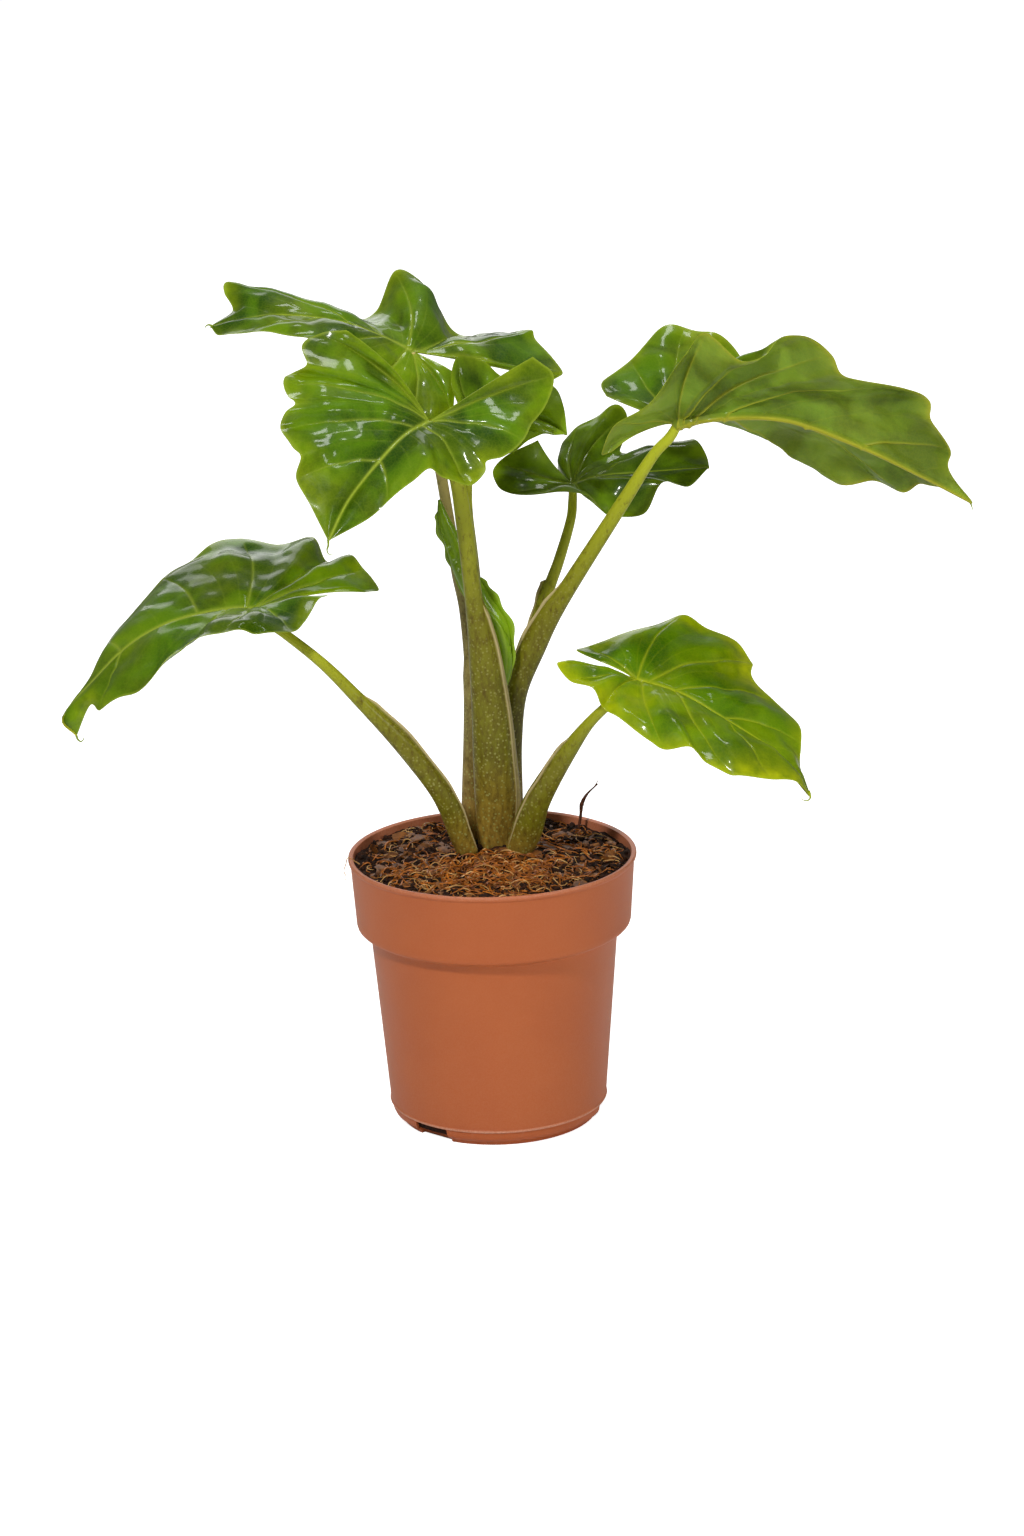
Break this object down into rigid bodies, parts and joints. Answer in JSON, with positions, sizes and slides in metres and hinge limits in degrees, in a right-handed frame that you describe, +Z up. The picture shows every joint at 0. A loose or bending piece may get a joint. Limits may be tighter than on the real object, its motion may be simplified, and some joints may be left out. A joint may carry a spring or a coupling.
{
  "type": "giant taro",
  "caption": "Potted giant taro: broad heart-shaped leaves with waved edges on long sheathed stems, in soil in a round collared nursery pot.",
  "frame": {"origin": "centre of the pot's flat underside, on the surface the pot stands on", "axes": "+X along the plant's widest spread, to the right seen from the front; +Y to the back; +Z up"},
  "size_m": [0.6482, 0.2381, 0.6124],
  "materials": {
    "pot_plastic": "satin moulded terracotta-coloured plastic",
    "soil": "rough fibrous coir compost",
    "corm": "scarred fibrous skin",
    "leaf": "glossy waxy leaf",
    "petiole": "smooth mottled stem",
    "young_leaf": "soft new leaf",
    "twig": "dry bark"
  },
  "bodies": {
    "root": {"pot": "pot_plastic", "soil": "soil", "corm": "corm", "twig": "twig", "young_leaf": "young_leaf", "blade_front": "leaf", "blade_back_left": "leaf", "blade_right": "leaf", "blade_back_right": "leaf", "blade_low_left": "leaf", "blade_low_right": "leaf", "blade_behind": "leaf", "petiole_front": "petiole", "petiole_back_left": "petiole", "petiole_right": "petiole", "petiole_back_right": "petiole", "petiole_low_left": "petiole", "petiole_low_right": "petiole", "petiole_behind": "petiole"}
  },
  "joints": []
}
